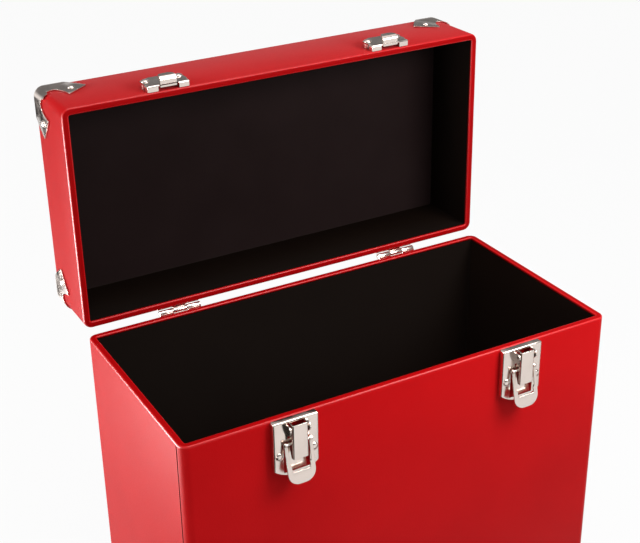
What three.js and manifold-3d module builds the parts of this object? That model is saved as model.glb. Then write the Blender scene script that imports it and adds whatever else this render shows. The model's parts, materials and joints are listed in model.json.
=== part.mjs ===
// Carrying case for twelve-inch records: a covered body, a hinged lid and two draw latches.
// Millimetres, +Z up, the front of the case towards -Y. The lid stands open on its hinge stops.
import * as THREE from 'three';
import { mergeVertices } from 'three/addons/utils/BufferGeometryUtils.js';
import Module from 'manifold-3d';

const wasm = await Module();
wasm.setup();

// Case
const caseLength = 356;
const caseDepth = 175.3;
const bodyHeight = 290;
const lidHeight = 59.4;
const rimGap = 0.6;
const cornerRadius = 6.8;
const edgeRadius = 1.5;
const innerEdgeRadius = 0.6;
const leastRadius = 0.4;
const coverThickness = 0.8;
const boardThickness = 3;
const liningThickness = 0.8;
const coverTurnIn = 2;
const glueGap = 0.3;
const lidOpenAngle = 90.5;

// Fits and sheet metal
const seatGap = 0.3;
const turningClearance = 0.3;
const overrun = 2;
const sheet = 1;

// Draw latches, measured down from the body's rim and out from its front wall
const latchOffset = 95.3;
const panWidth = 35;
const panTop = 0.6;
const panSide = 38.5;
const panBottom = 45;
const panFace = 5;
const earOutside = 8;
const earLow = 14;
const earEndRadius = 2.6;
const earEndTurn = 50;
const earWindowTop = 2.4;
const earWindowBottom = 14.5;
const armWindowTop = 17;
const armWindowHalfWidth = 10.2;
const armWindowMargin = 3.4;
const tongueHalfWidth = 6.5;
const tongueEnd = 39.5;
const leverPivotDown = 5.5;
const leverPivotOut = 9;
const leverWidth = 12;
const leverTop = 1.5;
const leverBottom = 28.7;
const leverFace = 11.5;
const leverFlangeOut = 5.5;
const leverNeckOut = 6.35;
const leverHeelDown = 9;
const leverTaperDown = 21;
const leverTipDepth = 3;
const pinRadius = 1;
const loopPivotDown = 17.8;
const loopPivotOut = 7.2;
const loopSheet = 1.2;
const loopHalfWidth = 10.8;
const loopArmInside = 8.3;
const loopSlotHalfWidth = 7.1;
const loopShoulder = 15.2;
const loopShoulderDrop = 1.2;
const loopReach = 21.1;
const loopBarHeight = 9.6;
const loopEndRadius = 8.5;
const loopCurlRadius = 1.6;
const loopRestTilt = 11.5;

// Strikes, measured up from the lid's rim and out from its front wall
const strikeOffset = 95;
const strikeHalfWidth = 16.8;
const strikeFace = 4.85;
const strikeRimEdge = 0.8;
const strikeShoulder = 16.3;
const strikeFarEdge = 22;
const strikeFarHalfWidth = 8;
const strikeFlangeInside = 8.3;
const strikeReturn = 5;
const hookRoot = 2.6;
const hookHalfWidth = 6.5;
const hookSheet = 1.2;
const hookCrest = 10.6;
const hookLegUp = 1;
const hookEnd = 9;
const hookBendRadius = 3.5;
const hookCornerRadius = 3.4;

// Rivets
const rivetSpread = 13.2;
const latchRivetDown = 27.3;
const strikeRivetUp = 14;
const rivetHeadRadius = 2.9;
const rivetHeadHeight = 1.4;
const rivetShankRadius = 1.3;

// Hinges
const hingeOffset = 100;
const hingeLength = 35;
const hingeLeafReach = 22;
const hingePinOut = 3.1;
const hingeBarrelRadius = 2.3;
const hingePinRadius = 1;
const hingeRivetSpread = 11;
const knuckleGap = 0.3;

// Corner protectors
const protectorEdgeReach = 21;
const protectorNotchNear = 11;
const protectorNotchFar = 15;
const protectorTipNear = 17.5;
const protectorTipFar = 34.5;
const protectorBarbNear = 17;
const protectorBarbFar = 31;
const protectorBulgeNear = 5.5;
const protectorBulgeFar = 28;
const protectorRivetAcross = 22.5;
const protectorRivetAlong = 17.5;
const domeRadius = 2.6;
const domeHeight = 1.5;

// Handle, on the lid's top
const handleLoopWidth = 20;
const handleLoopReach = 18;
const handleWireRadius = 1.75;
const handleBendRadius = 4;
const handleWireInset = 9;
const handleRestTilt = 12;
const gripLength = 164;
const gripOverhang = 17;
const handleOffset = gripLength / 2 - gripOverhang;
const gripEndWidth = 15;
const gripMiddleWidth = 22;
const gripThickness = 13;
const gripArch = 11;
const gripEndRound = 5;
const bracketWidth = 11;
const bracketLength = 27;

// Feet
const footHeight = 6;
const footRadius = 9;
const footBaseRadius = 7.6;
const footInset = 34;
const footScrewRadius = 3;
const footScrewDepth = 2.5;

// Facet counts
const cornerSteps = 4;
const edgeSteps = 3;
const roundSides = 12;
const headSteps = 3;
const curveSteps = 4;
const gripSteps = 14;
const gripSides = 14;
const wireSides = 4;
const wireSteps = 26;

const red = { color: 0xb81c20, roughness: 0.5, metalness: 0 };
const black = { color: 0x17130f, roughness: 0.9, metalness: 0 };
const brown = { color: 0x8a6a45, roughness: 0.9, metalness: 0 };
const nickel = { color: 0xd4cec6, roughness: 0.2, metalness: 1 };
const gripBlack = { color: 0x1b1a1b, roughness: 0.55, metalness: 0 };
const rubber = { color: 0x222222, roughness: 0.8, metalness: 0 };

const rad = THREE.MathUtils.degToRad;
const wallThickness = coverThickness + boardThickness + liningThickness + 2 * glueGap;
const boardInset = coverThickness + glueGap;
const boardBack = boardInset + boardThickness;
const liningInset = boardBack + glueGap;

// Solids

function solid(geometry) {
  const bare = new THREE.BufferGeometry();
  bare.setAttribute('position', geometry.getAttribute('position'));
  bare.setIndex(geometry.getIndex());
  const merged = mergeVertices(bare);
  const vertProperties = merged.getAttribute('position').array;
  const triVerts = new Uint32Array(merged.getIndex().array);
  return new wasm.Manifold(new wasm.Mesh({ numProp: 3, vertProperties, triVerts }));
}

function addMesh(group, name, shape, look) {
  const { vertProperties, triVerts } = shape.getMesh();
  const geometry = new THREE.BufferGeometry();
  geometry.setAttribute('position', new THREE.BufferAttribute(vertProperties, 3));
  geometry.setIndex(new THREE.BufferAttribute(triVerts, 1));
  geometry.computeVertexNormals();
  const mesh = new THREE.Mesh(geometry, new THREE.MeshStandardMaterial(look));
  mesh.name = name;
  group.add(mesh);
  return mesh;
}

function block(x0, x1, y0, y1, z0, z1) {
  const geometry = new THREE.BoxGeometry(x1 - x0, y1 - y0, z1 - z0);
  geometry.translate((x0 + x1) / 2, (y0 + y1) / 2, (z0 + z1) / 2);
  return solid(geometry);
}

// Round bar along X between two places, centred on y and z.
function rodX(radius, x0, x1, y, z) {
  const geometry = new THREE.CylinderGeometry(radius, radius, x1 - x0, roundSides);
  geometry.rotateZ(Math.PI / 2);
  geometry.translate((x0 + x1) / 2, y, z);
  return solid(geometry);
}

// Round bar along Y.
function rodY(radius, x, y0, y1, z) {
  const geometry = new THREE.CylinderGeometry(radius, radius, y1 - y0, roundSides);
  geometry.translate(x, (y0 + y1) / 2, z);
  return solid(geometry);
}

function extruded(shape, depth) {
  return new THREE.ExtrudeGeometry(shape, { depth, bevelEnabled: false, curveSegments: curveSteps });
}

// A shape drawn in y and z, swept along X.
function sweptX(shape, x0, x1) {
  const geometry = extruded(shape, x1 - x0);
  const axes = [new THREE.Vector3(0, 1, 0), new THREE.Vector3(0, 0, 1), new THREE.Vector3(1, 0, 0)];
  geometry.applyMatrix4(new THREE.Matrix4().makeBasis(...axes));
  geometry.translate(x0, 0, 0);
  return solid(geometry);
}

// A shape drawn in x and z, swept along Y.
function sweptY(shape, y0, y1) {
  const geometry = extruded(shape, y1 - y0);
  geometry.rotateX(Math.PI / 2);
  geometry.translate(0, y1, 0);
  return solid(geometry);
}

function polygon(points) {
  return new THREE.Shape(points.map(([a, b]) => new THREE.Vector2(a, b)));
}

// Closed body through a stack of rings that all have the same number of points.
function loft(rings) {
  const count = rings[0].length;
  const middles = [rings[0], rings[rings.length - 1]].map((ring) => {
    const middle = new THREE.Vector3();
    ring.forEach((point) => middle.add(point));
    return middle.divideScalar(count);
  });
  const points = [...rings.flat(), ...middles];
  const first = points.length - 2;
  const last = points.length - 1;
  const faces = [];
  for (let j = 0; j < count; j++) {
    const k = (j + 1) % count;
    faces.push(first, k, j);
    for (let i = 0; i < rings.length - 1; i++) {
      const low = i * count;
      const high = low + count;
      faces.push(low + j, low + k, high + k, low + j, high + k, high + j);
    }
    const end = (rings.length - 1) * count;
    faces.push(last, end + j, end + k);
  }
  const geometry = new THREE.BufferGeometry().setFromPoints(points);
  geometry.setIndex(faces);
  return solid(geometry);
}

// Rounded rectangle at height z, drawn in from length by depth by an inset.
function ring(length, depth, inset, z) {
  const radius = Math.max(cornerRadius - inset, leastRadius);
  const centreX = length / 2 - inset - radius;
  const centreY = depth / 2 - inset - radius;
  const points = [];
  [[1, 1], [-1, 1], [-1, -1], [1, -1]].forEach(([signX, signY], quarter) => {
    for (let step = 0; step <= cornerSteps; step++) {
      const angle = (quarter + step / cornerSteps) * Math.PI / 2;
      const x = signX * centreX + radius * Math.cos(angle);
      const y = signY * centreY + radius * Math.sin(angle);
      points.push(new THREE.Vector3(x, y, z));
    }
  });
  return points;
}

function caseLoft(levels) {
  return loft(levels.map(([inset, z]) => ring(caseLength, caseDepth, inset, z)));
}

// Levels of a rounded edge, as insets and heights on an arc between two angles in degrees.
function arcLevels(inset, z, radius, from, to) {
  const levels = [];
  for (let step = 0; step <= edgeSteps; step++) {
    const angle = rad(from + (to - from) * step / edgeSteps);
    levels.push([inset + radius * Math.cos(angle), z + radius * Math.sin(angle)]);
  }
  return levels;
}

// Rivet or dome turned about Y, its head sitting on y = 0 and its shank running to -depth.
function rivet(headRadius, headHeight, shankRadius, depth) {
  const profile = [new THREE.Vector2(0, -depth), new THREE.Vector2(shankRadius, -depth)];
  profile.push(new THREE.Vector2(shankRadius, 0));
  for (let step = 0; step <= headSteps; step++) {
    const angle = step / headSteps * Math.PI / 2;
    profile.push(new THREE.Vector2(headRadius * Math.cos(angle), headHeight * Math.sin(angle)));
  }
  profile[profile.length - 1].x = 0;
  return solid(new THREE.LatheGeometry(profile, roundSides));
}

// Covered tray, open upwards, its closed face on z = 0. The body is one, and the lid is one turned over.

// Covering: wraps the outside, rolls over the rim and turns in above the lining.
function covering(height) {
  return caseLoft([
    ...arcLevels(edgeRadius, edgeRadius, edgeRadius, -90, -180),
    ...arcLevels(edgeRadius, height - edgeRadius, edgeRadius, 180, 90),
    ...arcLevels(wallThickness - innerEdgeRadius, height - innerEdgeRadius, innerEdgeRadius, 90, 0),
    [wallThickness, height - coverTurnIn],
    [wallThickness - coverThickness, height - coverTurnIn],
    [wallThickness - coverThickness, height - coverThickness],
    [coverThickness, height - coverThickness],
    [coverThickness, coverThickness],
  ]);
}

function lining(height) {
  const top = height - coverTurnIn - glueGap;
  return caseLoft([
    [liningInset, liningInset],
    [liningInset, top],
    [wallThickness, top],
    [wallThickness, wallThickness],
  ]);
}

// Boards: the floor is one sheet, the front and back run the whole length, the sides fit between.
function boards(height) {
  const x = caseLength / 2;
  const y = caseDepth / 2;
  const top = height - coverThickness - glueGap;
  const innerX = x - boardBack;
  const innerY = y - boardBack;
  const sideY = innerY - glueGap;
  const upright = caseLoft([[boardInset, liningInset], [boardInset, top]]);
  return {
    floor: caseLoft([[boardInset, boardInset], [boardInset, boardBack]]),
    front: upright.intersect(block(-x, x, -y, -innerY, 0, height)),
    back: upright.intersect(block(-x, x, innerY, y, 0, height)),
    minusX: upright.intersect(block(-x, -innerX, -sideY, sideY, 0, height)),
    plusX: upright.intersect(block(innerX, x, -sideY, sideY, 0, height)),
  };
}

// Leaf of a corner protector. The side along the first axis runs straight on to the tip, and the side
// along the second has a notch before its barb.
function protectorLeaf() {
  const leaf = new THREE.Shape();
  leaf.moveTo(-overrun, -overrun);
  leaf.lineTo(protectorEdgeReach, -overrun);
  leaf.lineTo(protectorEdgeReach, 0);
  leaf.quadraticCurveTo(protectorBulgeFar, protectorBulgeNear, protectorTipFar, protectorTipNear);
  leaf.lineTo(protectorBarbNear, protectorBarbFar);
  leaf.quadraticCurveTo(protectorBarbNear, protectorEdgeReach, protectorNotchNear, protectorNotchFar);
  leaf.quadraticCurveTo(protectorNotchNear / 2, protectorNotchFar, 0, protectorEdgeReach);
  leaf.lineTo(-overrun, protectorEdgeReach);
  return leaf;
}

// Leaf on the lid's top or under the body, the same on both sides of the corner.
function protectorCap() {
  const leaf = new THREE.Shape();
  leaf.moveTo(-overrun, -overrun);
  leaf.lineTo(protectorEdgeReach, -overrun);
  leaf.lineTo(protectorEdgeReach, 0);
  leaf.quadraticCurveTo(protectorBulgeFar, protectorBulgeNear, protectorTipFar, protectorTipNear);
  leaf.lineTo(protectorTipNear, protectorTipFar);
  leaf.quadraticCurveTo(protectorBulgeNear, protectorBulgeFar, 0, protectorEdgeReach);
  leaf.lineTo(-overrun, protectorEdgeReach);
  return leaf;
}

// Corner protector round the sharp corner at the origin, its three faces towards +X, +Y and +Z.
function protector() {
  const face = seatGap + sheet;
  const far = protectorTipFar + overrun;
  const size = 2 * far;
  const skin = (gap, top) => loft([
    ...arcLevels(edgeRadius, edgeRadius, edgeRadius + gap, -90, -180),
    [-gap, top],
  ].map(([inset, z]) => ring(size, size, inset, z))).translate([far, far, 0]);
  const shell = skin(face, far).subtract(skin(seatGap, far + overrun));
  const depth = cornerRadius / 2;
  const keepZ = extruded(protectorCap(), depth + overrun);
  keepZ.translate(0, 0, -overrun);
  const leaf = protectorLeaf();
  const keep = solid(keepZ).add(sweptX(leaf, -overrun, depth)).add(sweptY(leaf, -overrun, depth));
  const dome = rivet(domeRadius, domeHeight, domeRadius, sheet / 2);
  const across = protectorRivetAcross;
  const along = protectorRivetAlong;
  const domeY = dome.rotate([180, 0, 0]).translate([across, -face, along]);
  const domeX = dome.rotate([0, 0, 90]).translate([-face, across, along]);
  const domeZ = dome.rotate([-90, 0, 0]).translate([across, across, -face]);
  return shell.intersect(keep).add(domeY).add(domeX).add(domeZ);
}

const protectorSolid = protector();

// Holes through the covering and the front board for the rivets of a fitting at each end.
function rivetHoles(offset, z) {
  const radius = rivetShankRadius + turningClearance;
  const front = -caseDepth / 2;
  const places = [-offset, offset].flatMap((x) => [x - rivetSpread, x + rivetSpread]);
  return places.map((x) => rodY(radius, x, front - overrun, front + liningInset, z));
}

function tray(prefix, height, floorName, minusX, plusX, holes) {
  const group = new THREE.Group();
  const board = boards(height);
  const drilled = (shape) => holes.reduce((left, hole) => left.subtract(hole), shape);
  addMesh(group, `${prefix}_covering`, drilled(covering(height)), red);
  addMesh(group, `${prefix}_lining`, lining(height), black);
  addMesh(group, `${prefix}_${floorName}_board`, board.floor, brown);
  addMesh(group, `${prefix}_front_board`, drilled(board.front), brown);
  addMesh(group, `${prefix}_back_board`, board.back, brown);
  addMesh(group, `${prefix}_${minusX}_board`, board.minusX, brown);
  addMesh(group, `${prefix}_${plusX}_board`, board.plusX, brown);
  const corners = [[-1, -1, `front_${minusX}`], [1, -1, `front_${plusX}`]];
  corners.push([1, 1, `back_${plusX}`], [-1, 1, `back_${minusX}`]);
  corners.forEach(([signX, signY, place], quarter) => {
    const corner = addMesh(group, `${prefix}_corner_${place}`, protectorSolid, nickel);
    corner.position.set(signX * caseLength / 2, signY * caseDepth / 2, 0);
    corner.rotation.z = quarter * Math.PI / 2;
  });
  return group;
}

// Draw latch. In a latch y is the distance out from the wall and z the height over the rim.

// The pan's bottom edge is an arc from side to side.
function panOutline() {
  const x = panWidth / 2;
  const sag = panBottom - panSide;
  const radius = (x * x + sag * sag) / (2 * sag);
  const spread = Math.asin(x / radius);
  const down = -Math.PI / 2;
  const outline = new THREE.Shape();
  outline.absarc(0, radius - panBottom, radius, down - spread, down + spread, false);
  outline.lineTo(x, -panTop);
  outline.lineTo(-x, -panTop);
  return outline;
}

// An ear rises from the pan to a round end about the lever's pin.
function earOutline() {
  const outline = new THREE.Shape();
  outline.absarc(leverPivotOut, -leverPivotDown, earEndRadius, rad(-earEndTurn), rad(90), false);
  outline.lineTo(panFace - sheet, earEndRadius - leverPivotDown);
  outline.lineTo(panFace - sheet, -earLow);
  return outline;
}

function latchBase() {
  const x = panWidth / 2;
  const inside = block(sheet - x, x - sheet, 0, panFace - sheet, -panBottom - overrun, -panTop - sheet);
  const ears = [-earOutside, earOutside - sheet].map((left) => sweptX(earOutline(), left, left + sheet));
  const earWindow = earOutside - sheet;
  const armWindowEnd = armWindowMargin - panBottom;
  const sides = [-armWindowHalfWidth, tongueHalfWidth];
  const slotWidth = armWindowHalfWidth - tongueHalfWidth;
  let base = sweptY(panOutline(), seatGap, panFace).subtract(inside);
  base = base.subtract(block(-earWindow, earWindow, 0, panFace + overrun, -earWindowBottom, -earWindowTop));
  sides.forEach((left) => {
    const slot = block(left, left + slotWidth, 0, panFace + overrun, armWindowEnd, -armWindowTop);
    base = base.subtract(slot);
  });
  base = base.subtract(
    block(-armWindowHalfWidth, armWindowHalfWidth, 0, panFace + overrun, armWindowEnd, -tongueEnd),
  );
  ears.forEach((ear) => { base = base.add(ear); });
  const reach = earOutside + overrun;
  base = base.subtract(rodX(pinRadius + seatGap, -reach, reach, leverPivotOut, -leverPivotDown));
  [-rivetSpread, rivetSpread].forEach((place) => {
    const radius = rivetShankRadius + turningClearance;
    base = base.subtract(rodY(radius, place, 0, panFace + overrun, -latchRivetDown));
  });
  return base;
}

// Lever: a channel, open at both ends, whose flanges hold the pin and the loop's two pivots.
function latchLever() {
  const x = leverWidth / 2;
  const outline = polygon([
    [leverFace, -leverTop], [leverFace, -leverBottom], [leverFace - leverTipDepth, -leverBottom],
    [leverFlangeOut, -leverTaperDown], [leverFlangeOut, -leverHeelDown], [leverNeckOut, -leverTop],
  ]);
  const top = overrun - leverTop;
  const hollow = block(sheet - x, x - sheet, 0, leverFace - sheet, -leverBottom - overrun, top);
  const hole = pinRadius + turningClearance;
  return sweptX(outline, -x, x).subtract(hollow)
    .subtract(rodX(hole, -x - overrun, x + overrun, leverPivotOut, -leverPivotDown))
    .subtract(rodX(hole, -x - overrun, x + overrun, loopPivotOut, -loopPivotDown));
}

// Loop: a flat fork hanging from its pivots, with a bar across its end that catches the hook.
function latchLoop() {
  const cornerX = loopHalfWidth - loopEndRadius;
  const cornerZ = loopEndRadius - loopReach - loopBarHeight;
  const outline = new THREE.Shape();
  outline.absarc(-cornerX, cornerZ, loopEndRadius, rad(180), rad(270), false);
  outline.absarc(cornerX, cornerZ, loopEndRadius, rad(270), rad(360), false);
  outline.lineTo(loopHalfWidth, 0);
  outline.lineTo(loopArmInside, 0);
  outline.lineTo(loopArmInside, -loopShoulder);
  outline.lineTo(loopSlotHalfWidth, -loopShoulder - loopShoulderDrop);
  outline.lineTo(loopSlotHalfWidth, -loopReach);
  outline.lineTo(-loopSlotHalfWidth, -loopReach);
  outline.lineTo(-loopSlotHalfWidth, -loopShoulder - loopShoulderDrop);
  outline.lineTo(-loopArmInside, -loopShoulder);
  outline.lineTo(-loopArmInside, 0);
  outline.lineTo(-loopHalfWidth, 0);
  let fork = sweptY(outline, -loopSheet / 2, loopSheet / 2);
  const pivotEnd = leverWidth / 2 - sheet - turningClearance;
  [-1, 1].forEach((side) => {
    const curl = [side * loopArmInside, side * loopHalfWidth].sort((a, b) => a - b);
    const pivot = [side * pivotEnd, side * (loopArmInside + sheet)].sort((a, b) => a - b);
    fork = fork.add(rodX(loopCurlRadius, ...curl, 0, 0)).add(rodX(pinRadius, ...pivot, 0, 0));
  });
  return fork;
}

const latchSolids = {
  base: latchBase(),
  lever: latchLever(),
  loop: latchLoop(),
  pin: rodX(pinRadius, -earOutside, earOutside, leverPivotOut, -leverPivotDown),
  rivet: rivet(rivetHeadRadius, rivetHeadHeight, rivetShankRadius, panFace + seatGap + boardBack),
};

function latch(side) {
  const group = new THREE.Group();
  addMesh(group, `latch_base_${side}`, latchSolids.base, nickel);
  addMesh(group, `latch_lever_${side}`, latchSolids.lever, nickel);
  addMesh(group, `latch_pin_${side}`, latchSolids.pin, nickel);
  const loop = addMesh(group, `latch_loop_${side}`, latchSolids.loop, nickel);
  loop.position.set(0, loopPivotOut, -loopPivotDown);
  loop.rotation.x = rad(loopRestTilt);
  [-rivetSpread, rivetSpread].forEach((place, index) => {
    const held = addMesh(group, `latch_rivet_${side}_${index + 1}`, latchSolids.rivet, nickel);
    held.position.set(place, panFace + seatGap, -latchRivetDown);
  });
  return group;
}

// Strike: a plate on two turned-down flanges, with a hook bent up between them.

function strikePlate() {
  const x = strikeHalfWidth;
  const farWidth = strikeFarHalfWidth;
  const under = strikeFace - sheet;
  const outline = polygon([
    [-x, strikeRimEdge], [x, strikeRimEdge], [x, strikeShoulder], [farWidth, strikeFarEdge],
    [-farWidth, strikeFarEdge], [-x, strikeShoulder],
  ]);
  let plate = sweptY(outline, under, strikeFace);
  [-x, strikeFlangeInside].forEach((left) => {
    const right = left + x - strikeFlangeInside;
    plate = plate.add(block(left, right, seatGap, strikeFace, strikeRimEdge, strikeRimEdge + sheet));
  });
  [-x, x - sheet].forEach((left) => {
    const end = strikeRimEdge + strikeReturn;
    plate = plate.add(block(left, left + sheet, seatGap, strikeFace, strikeRimEdge, end));
  });
  const farFlange = block(-farWidth, farWidth, seatGap, strikeFace, strikeFarEdge - sheet, strikeFarEdge);
  return plate.add(farFlange);
}

function strikeHook() {
  const lipIn = hookCrest - hookSheet;
  const bendOut = hookCrest - hookBendRadius;
  const bendUp = hookLegUp + hookBendRadius;
  const profile = new THREE.Shape();
  profile.absarc(bendOut, bendUp, hookBendRadius, rad(-90), 0, false);
  profile.lineTo(hookCrest, hookEnd);
  profile.lineTo(lipIn, hookEnd);
  profile.absarc(bendOut, bendUp, hookBendRadius - hookSheet, 0, rad(-90), true);
  profile.lineTo(hookRoot, hookLegUp + hookSheet);
  profile.lineTo(hookRoot, hookLegUp);
  const x = hookHalfWidth;
  const cornerX = x - hookCornerRadius;
  const cornerZ = hookEnd - hookCornerRadius;
  const rounded = new THREE.Shape();
  rounded.moveTo(-x, 0);
  rounded.lineTo(x, 0);
  rounded.absarc(cornerX, cornerZ, hookCornerRadius, 0, rad(90), false);
  rounded.absarc(-cornerX, cornerZ, hookCornerRadius, rad(90), rad(180), false);
  return sweptX(profile, -x, x).intersect(sweptY(rounded, 0, hookCrest + overrun));
}

function strikeBody() {
  let body = strikePlate().add(strikeHook());
  [-rivetSpread, rivetSpread].forEach((place) => {
    const radius = rivetShankRadius + turningClearance;
    body = body.subtract(rodY(radius, place, 0, strikeFace + overrun, strikeRivetUp));
  });
  return body;
}

const strikeSolid = strikeBody();
const strikeRivet = rivet(
  rivetHeadRadius, rivetHeadHeight, rivetShankRadius, strikeFace + seatGap + boardBack,
);

function strike(side) {
  const group = new THREE.Group();
  addMesh(group, `strike_${side}`, strikeSolid, nickel);
  [-rivetSpread, rivetSpread].forEach((place, index) => {
    const held = addMesh(group, `strike_rivet_${side}_${index + 1}`, strikeRivet, nickel);
    held.position.set(place, strikeFace + seatGap, strikeRivetUp);
  });
  return group;
}

// Hinge leaf hanging below the pin's axis. y is the distance out from the wall, the pin's at hingePinOut.
// knuckles lists the thirds of the length, counted from -X, that this leaf holds.
function hingeLeaf(knuckles) {
  const left = -hingeLength / 2;
  const third = hingeLength / 3;
  const clear = hingeBarrelRadius + knuckleGap;
  const inside = hingeLeafReach - clear;
  const face = seatGap + sheet;
  let leaf = block(left, -left, seatGap, face, -hingeLeafReach, -clear);
  knuckles.forEach((knuckle) => {
    const x0 = left + knuckle * third + (knuckle > 0 ? knuckleGap / 2 : 0);
    const x1 = left + (knuckle + 1) * third - (knuckle < 2 ? knuckleGap / 2 : 0);
    leaf = leaf.add(block(x0, x1, seatGap, face, -clear - sheet, 0));
    leaf = leaf.add(rodX(hingeBarrelRadius, x0, x1, hingePinOut, 0));
  });
  const bore = hingePinRadius + turningClearance;
  leaf = leaf.subtract(rodX(bore, left - overrun, overrun - left, hingePinOut, 0));
  const dome = rivet(domeRadius, domeHeight, domeRadius, sheet / 2);
  [-hingeRivetSpread, hingeRivetSpread].forEach((x) => {
    leaf = leaf.add(dome.translate([x, face, -clear - inside / 2]));
  });
  return leaf;
}

// Handle. The two wire loops turn about X in their brackets, and their ends sit in the grip.

function handleWire() {
  const x = handleLoopWidth / 2 - handleWireRadius;
  const end = handleLoopReach + handleWireInset;
  const bend = handleBendRadius;
  const corner = (a, b, c) => new THREE.QuadraticBezierCurve3(a, b, c);
  const at = (px, py) => new THREE.Vector3(px, py, 0);
  const path = new THREE.CurvePath();
  path.add(new THREE.LineCurve3(at(-x, end), at(-x, bend)));
  path.add(corner(at(-x, bend), at(-x, 0), at(bend - x, 0)));
  path.add(new THREE.LineCurve3(at(bend - x, 0), at(x - bend, 0)));
  path.add(corner(at(x - bend, 0), at(x, 0), at(x, bend)));
  path.add(new THREE.LineCurve3(at(x, bend), at(x, end)));
  const section = new THREE.Shape();
  section.absarc(0, 0, handleWireRadius, 0, 2 * Math.PI, false);
  const settings = { steps: wireSteps, extrudePath: path, curveSegments: wireSides, bevelEnabled: false };
  return solid(new THREE.ExtrudeGeometry(section, settings));
}

// Grip: a padded bar that arches away from the lid and narrows to its rounded ends.
function handleGrip() {
  const rings = [];
  for (let step = 0; step <= gripSteps; step++) {
    const along = -Math.cos(step / gripSteps * Math.PI);
    const x = along * gripLength / 2;
    const fromEnd = gripLength / 2 - Math.abs(x);
    const inRound = Math.max(1 - fromEnd / gripEndRound, 0);
    const taper = Math.sqrt(Math.max(1 - inRound * inRound, 0));
    const bulge = 1 - along * along;
    const rounding = gripEndRound * (1 - taper);
    const width = (gripEndWidth + (gripMiddleWidth - gripEndWidth) * bulge) / 2 - rounding;
    const thickness = gripThickness / 2 - rounding;
    const y = handleLoopReach + gripEndWidth / 2 + gripArch * bulge;
    const points = [];
    for (let side = 0; side < gripSides; side++) {
      const angle = side / gripSides * 2 * Math.PI;
      points.push(new THREE.Vector3(x, y + width * Math.cos(angle), thickness * Math.sin(angle)));
    }
    rings.push(points);
  }
  let grip = loft(rings);
  const spread = handleLoopWidth / 2 - handleWireRadius;
  const radius = handleWireRadius + seatGap;
  [-handleOffset, handleOffset].flatMap((x) => [x - spread, x + spread]).forEach((x) => {
    const end = handleLoopReach + handleWireInset + seatGap;
    grip = grip.subtract(rodY(radius, x, 0, end, 0));
  });
  return grip;
}

// Bracket: a strap that bridges the wire, with a dome-headed rivet each side. z is out from the lid.
function handleBracket() {
  const y = bracketLength / 2;
  const x = bracketWidth / 2;
  const inner = handleWireRadius + turningClearance;
  const outer = inner + sheet;
  const axis = seatGap + inner;
  const strap = new THREE.Shape();
  strap.moveTo(-y, seatGap);
  strap.lineTo(-inner, seatGap);
  strap.absarc(0, axis, inner, rad(180), 0, true);
  strap.lineTo(inner, seatGap);
  strap.lineTo(y, seatGap);
  strap.lineTo(y, seatGap + sheet);
  strap.lineTo(outer, seatGap + sheet);
  strap.absarc(0, axis, outer, 0, rad(180), false);
  strap.lineTo(-outer, seatGap + sheet);
  strap.lineTo(-y, seatGap + sheet);
  let bracket = sweptX(strap, -x, x);
  const dome = rivet(domeRadius, domeHeight, domeRadius, sheet / 2).rotate([90, 0, 0]);
  const place = (outer + y) / 2;
  [-place, place].forEach((at) => { bracket = bracket.add(dome.translate([0, at, seatGap + sheet])); });
  return bracket;
}

// Foot: a turned rubber disc, hollowed for its screw, standing on z = 0.
function foot() {
  const top = footHeight - seatGap;
  const profile = [
    [0, footScrewDepth], [footScrewRadius, footScrewDepth], [footScrewRadius, 0], [footBaseRadius, 0],
    [footRadius, top], [0, top],
  ];
  const geometry = new THREE.LatheGeometry(profile.map(([r, y]) => new THREE.Vector2(r, y)), roundSides);
  geometry.rotateX(Math.PI / 2);
  return solid(geometry);
}

// Assembly

const part = new THREE.Group();
const rimZ = footHeight + bodyHeight;

const latchHoles = rivetHoles(latchOffset, bodyHeight - latchRivetDown);
const body = tray('body', bodyHeight, 'floor', 'left', 'right', latchHoles);
body.position.z = footHeight;
part.add(body);

const footSolid = foot();
[['front', -1], ['back', 1]].forEach(([end, signY]) => {
  [['left', -1], ['right', 1]].forEach(([side, signX]) => {
    const placed = addMesh(part, `foot_${end}_${side}`, footSolid, rubber);
    placed.position.set(signX * (caseLength / 2 - footInset), signY * (caseDepth / 2 - footInset), 0);
  });
});

// The lid is laid out as it closes, inside a group that turns it back about the hinge pins.
const pinY = caseDepth / 2 + hingePinOut;
const pinZ = rimZ + rimGap / 2;
const lid = new THREE.Group();
lid.position.set(0, pinY, pinZ);
lid.rotation.x = rad(-lidOpenAngle);
part.add(lid);
const lidClosed = new THREE.Group();
lidClosed.position.set(0, -pinY, rimGap / 2);
lid.add(lidClosed);

const strikeHoles = rivetHoles(strikeOffset, lidHeight - strikeRivetUp);
const lidTray = tray('lid', lidHeight, 'top', 'right', 'left', strikeHoles);
lidTray.position.z = lidHeight;
lidTray.rotation.y = Math.PI;
lidClosed.add(lidTray);

const bodyLeaf = hingeLeaf([0, 2]);
const lidLeaf = hingeLeaf([1]);
const hingePin = rodX(hingePinRadius, -hingeLength / 2, hingeLength / 2, 0, 0);

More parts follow.
